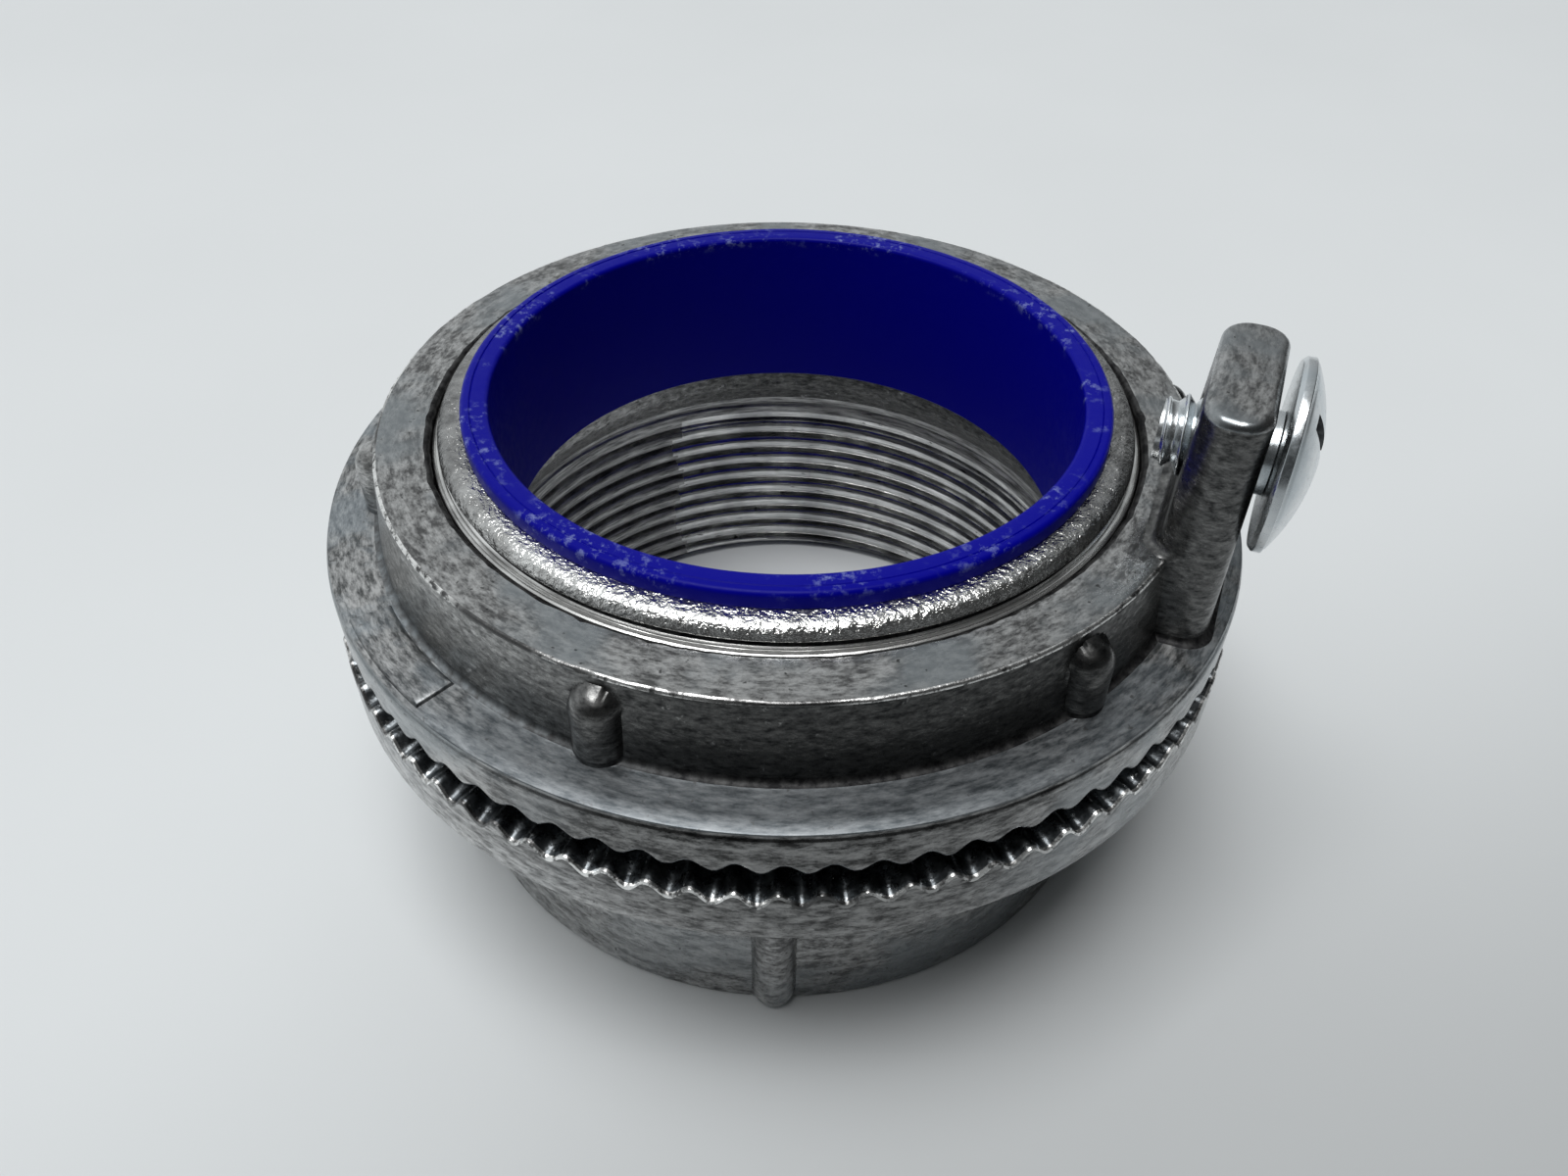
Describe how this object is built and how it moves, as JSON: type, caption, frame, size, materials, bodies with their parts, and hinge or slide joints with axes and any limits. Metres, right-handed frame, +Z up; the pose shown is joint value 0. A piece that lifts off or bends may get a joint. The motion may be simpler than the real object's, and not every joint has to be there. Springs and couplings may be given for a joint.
{
  "type": "conduit hub",
  "caption": "Die-cast watertight conduit hub with a blue insulated throat, toothed clamping rims, an eared locknut and a bonding screw; joins threaded conduit to an enclosure wall.",
  "frame": {"origin": "On the hub's axis, in the plane of the conduit-end face of the barrel.", "axes": "+Z runs up the hub's axis from the conduit end to the lined throat, +X points at the bonding lug, +Y makes the frame right-handed."},
  "size_m": [0.0813, 0.0796, 0.0533],
  "materials": {
    "cast_zinc": "die-cast zinc, as cast, dull mottled grey; threads cut bright",
    "blue_liner": "moulded insulating plastic, dark blue, smooth",
    "seal_rubber": "moulded rubber, black, matt",
    "plated_steel": "zinc-plated steel, bright"
  },
  "bodies": {
    "hub": {"hub_body": "cast_zinc", "throat_liner": "blue_liner", "sealing_ring": "seal_rubber"},
    "locknut": {"locknut": "cast_zinc"},
    "bonding_screw": {"bonding_screw": "plated_steel"}
  },
  "joints": [
    {"name": "locknut_turn", "type": "hinge", "parent": "hub", "child": "locknut", "pos_m": [0, 0, 0.035], "axis": [0, 0, 1], "range_deg": [-320, 1630]},
    {"name": "bonding_screw_turn", "type": "hinge", "parent": "locknut", "child": "bonding_screw", "pos_m": [0.036, 0, 0.046], "axis": [1, 0, 0], "range_deg": [-420, 2100]}
  ]
}
